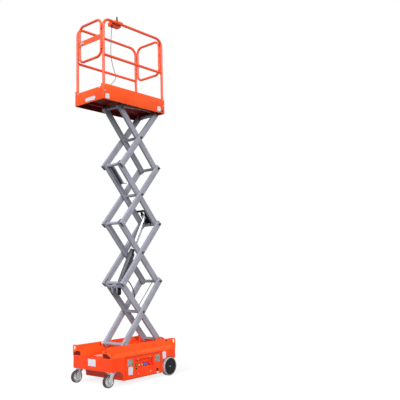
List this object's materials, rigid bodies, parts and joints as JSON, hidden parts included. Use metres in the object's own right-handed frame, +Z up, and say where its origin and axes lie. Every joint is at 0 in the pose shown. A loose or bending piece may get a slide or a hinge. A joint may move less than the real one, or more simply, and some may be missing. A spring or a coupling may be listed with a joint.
{
  "type": "scissor lift",
  "caption": "Raised self-propelled scissor lift: box chassis on casters and drive wheels, crossed tube arms on a lifting cylinder, railed platform with entry gate and hung control box.",
  "frame": {"origin": "on the ground at the centre of the overall length and width", "axes": "+Z up, +X toward the drive wheels, -X toward the entry gate and casters, -Y toward the ground controls"},
  "size_m": [1.264, 0.81, 4.9949],
  "materials": {
    "black_paint": "satin black paint",
    "black_plastic": "moulded",
    "caster_tread": "matte tread",
    "chrome_rod": "polished",
    "drive_rubber": "matte non-marking rubber",
    "grey_cable": "extruded sheath",
    "nylon": "turned nylon",
    "orange_paint": "gloss powder coat",
    "power_pack": "plain",
    "red_plastic": "moulded",
    "scissor_grey": "satin powder coat",
    "zinc_steel": "zinc plated"
  },
  "bodies": {
    "chassis": {"chassis_hull": "orange_paint", "chassis_belly": "orange_paint", "door_near": "orange_paint", "door_far": "orange_paint", "ground_panel": "black_plastic", "ground_stop": "red_plastic", "charger_socket": "black_plastic", "side_beams": "orange_paint", "pivot_brackets": "scissor_grey", "power_pack": "power_pack", "drive_motors": "black_paint", "caster_mounts": "zinc_steel"},
    "drive_wheel_near": {"drive_tyre_near": "drive_rubber", "drive_disc_near": "black_paint"},
    "drive_wheel_far": {"drive_tyre_far": "drive_rubber", "drive_disc_far": "black_paint"},
    "caster_near": {"caster_fork_near": "zinc_steel"},
    "caster_far": {"caster_fork_far": "zinc_steel"},
    "caster_wheel_near": {"caster_rim_near": "zinc_steel", "caster_tyre_near": "caster_tread"},
    "caster_wheel_far": {"caster_rim_far": "zinc_steel", "caster_tyre_far": "caster_tread"},
    "inner_1": {"inner_arms_1": "scissor_grey", "cross_shafts_1": "scissor_grey", "cylinder_foot": "black_paint"},
    "outer_1": {"outer_arms_1": "scissor_grey", "slide_shaft": "scissor_grey", "lower_rollers": "nylon"},
    "outer_2": {"outer_arms_2": "scissor_grey"},
    "inner_2": {"inner_arms_2": "scissor_grey", "cross_shafts_2": "scissor_grey"},
    "outer_3": {"outer_arms_3": "scissor_grey"},
    "inner_3": {"inner_arms_3": "scissor_grey", "cross_shafts_3": "scissor_grey", "cylinder_head": "black_paint", "safety_prop": "black_paint"},
    "outer_4": {"outer_arms_4": "scissor_grey"},
    "inner_4": {"inner_arms_4": "scissor_grey", "cross_shafts_4": "scissor_grey", "upper_rollers": "nylon"},
    "platform": {"platform_tray": "orange_paint", "platform_tracks": "orange_paint", "guard_rail_near": "orange_paint", "guard_rail_far": "orange_paint", "gate_knuckles": "orange_paint", "end_loop": "orange_paint", "control_box": "orange_paint", "joystick": "black_plastic", "platform_stop": "red_plastic", "cable_gland": "black_plastic", "cable_plug": "black_plastic", "control_cable": "grey_cable"},
    "gate": {"gate_loop": "orange_paint", "gate_bar": "orange_paint", "gate_leaves": "orange_paint", "gate_latch": "black_plastic"},
    "cylinder_tube": {"cylinder_barrel": "black_paint"},
    "cylinder_piston": {"cylinder_rod": "chrome_rod"}
  },
  "joints": [
    {"name": "scissor_fold", "type": "hinge", "parent": "chassis", "child": "inner_1", "pos_m": [0.522, 0, 0.478], "axis": [0, -1, 0], "range_deg": [0, 45.35]},
    {"name": "cross_1", "type": "hinge", "parent": "inner_1", "child": "outer_1", "pos_m": [0.18114, 0, 0.88711], "axis": [0, 1, 0], "range_deg": [0, 90.71]},
    {"name": "left_joint_1", "type": "hinge", "parent": "inner_1", "child": "outer_2", "pos_m": [-0.15972, 0, 1.29622], "axis": [0, 1, 0], "range_deg": [0, 90.71]},
    {"name": "cross_2", "type": "hinge", "parent": "outer_2", "child": "inner_2", "pos_m": [0.18114, 0, 1.70533], "axis": [0, -1, 0], "range_deg": [0, 90.71]},
    {"name": "left_joint_2", "type": "hinge", "parent": "inner_2", "child": "outer_3", "pos_m": [-0.15972, 0, 2.11444], "axis": [0, 1, 0], "range_deg": [0, 90.71]},
    {"name": "cross_3", "type": "hinge", "parent": "outer_3", "child": "inner_3", "pos_m": [0.18114, 0, 2.52355], "axis": [0, -1, 0], "range_deg": [0, 90.71]},
    {"name": "left_joint_3", "type": "hinge", "parent": "inner_3", "child": "outer_4", "pos_m": [-0.15972, 0, 2.93267], "axis": [0, 1, 0], "range_deg": [0, 90.71]},
    {"name": "cross_4", "type": "hinge", "parent": "outer_4", "child": "inner_4", "pos_m": [0.18114, 0, 3.34178], "axis": [0, -1, 0], "range_deg": [0, 90.71]},
    {"name": "platform_pivot", "type": "hinge", "parent": "outer_4", "child": "platform", "pos_m": [0.522, 0, 3.75089], "axis": [0, -1, 0], "range_deg": [0, 45.36]},
    {"name": "cylinder_swing", "type": "hinge", "parent": "inner_1", "child": "cylinder_tube", "pos_m": [-0.12618, 0, 1.16536], "axis": [0, 1, 0], "range_deg": [0, 94.05]},
    {"name": "cylinder_stroke", "type": "slide", "parent": "cylinder_tube", "child": "cylinder_piston", "axis": [0.4682, 0, 0.8836], "range_m": [-0.39433, 0]},
    {"name": "gate_swing", "type": "hinge", "parent": "platform", "child": "gate", "pos_m": [-0.585, -0.2528, 4.78889], "axis": [0, 0, 1], "range_deg": [0, 95]},
    {"name": "drive_spin_near", "type": "hinge", "parent": "chassis", "child": "drive_wheel_near", "pos_m": [0.502, -0.367, 0.125], "axis": [0, 1, 0], "continuous": true},
    {"name": "caster_swivel_near", "type": "hinge", "parent": "chassis", "child": "caster_near", "pos_m": [-0.502, -0.319, 0.18], "axis": [0, 0, 1], "continuous": true},
    {"name": "caster_spin_near", "type": "hinge", "parent": "caster_near", "child": "caster_wheel_near", "pos_m": [-0.552, -0.319, 0.08], "axis": [0, 1, 0], "continuous": true},
    {"name": "drive_spin_far", "type": "hinge", "parent": "chassis", "child": "drive_wheel_far", "pos_m": [0.502, 0.367, 0.125], "axis": [0, 1, 0], "continuous": true},
    {"name": "caster_swivel_far", "type": "hinge", "parent": "chassis", "child": "caster_far", "pos_m": [-0.502, 0.319, 0.18], "axis": [0, 0, 1], "continuous": true},
    {"name": "caster_spin_far", "type": "hinge", "parent": "caster_far", "child": "caster_wheel_far", "pos_m": [-0.552, 0.319, 0.08], "axis": [0, 1, 0], "continuous": true}
  ],
  "couplings": [
    {"joint": "cross_1", "follows": "scissor_fold", "ratio": 2},
    {"joint": "left_joint_1", "follows": "scissor_fold", "ratio": 2},
    {"joint": "cross_2", "follows": "scissor_fold", "ratio": 2},
    {"joint": "left_joint_2", "follows": "scissor_fold", "ratio": 2},
    {"joint": "cross_3", "follows": "scissor_fold", "ratio": 2},
    {"joint": "left_joint_3", "follows": "scissor_fold", "ratio": 2},
    {"joint": "cross_4", "follows": "scissor_fold", "ratio": 2},
    {"joint": "platform_pivot", "follows": "scissor_fold", "ratio": 1},
    {"joint": "cylinder_swing", "follows": "scissor_fold", "ratio": 2.0736},
    {"joint": "cylinder_stroke", "follows": "scissor_fold", "m_per_rad": -0.49808}
  ]
}
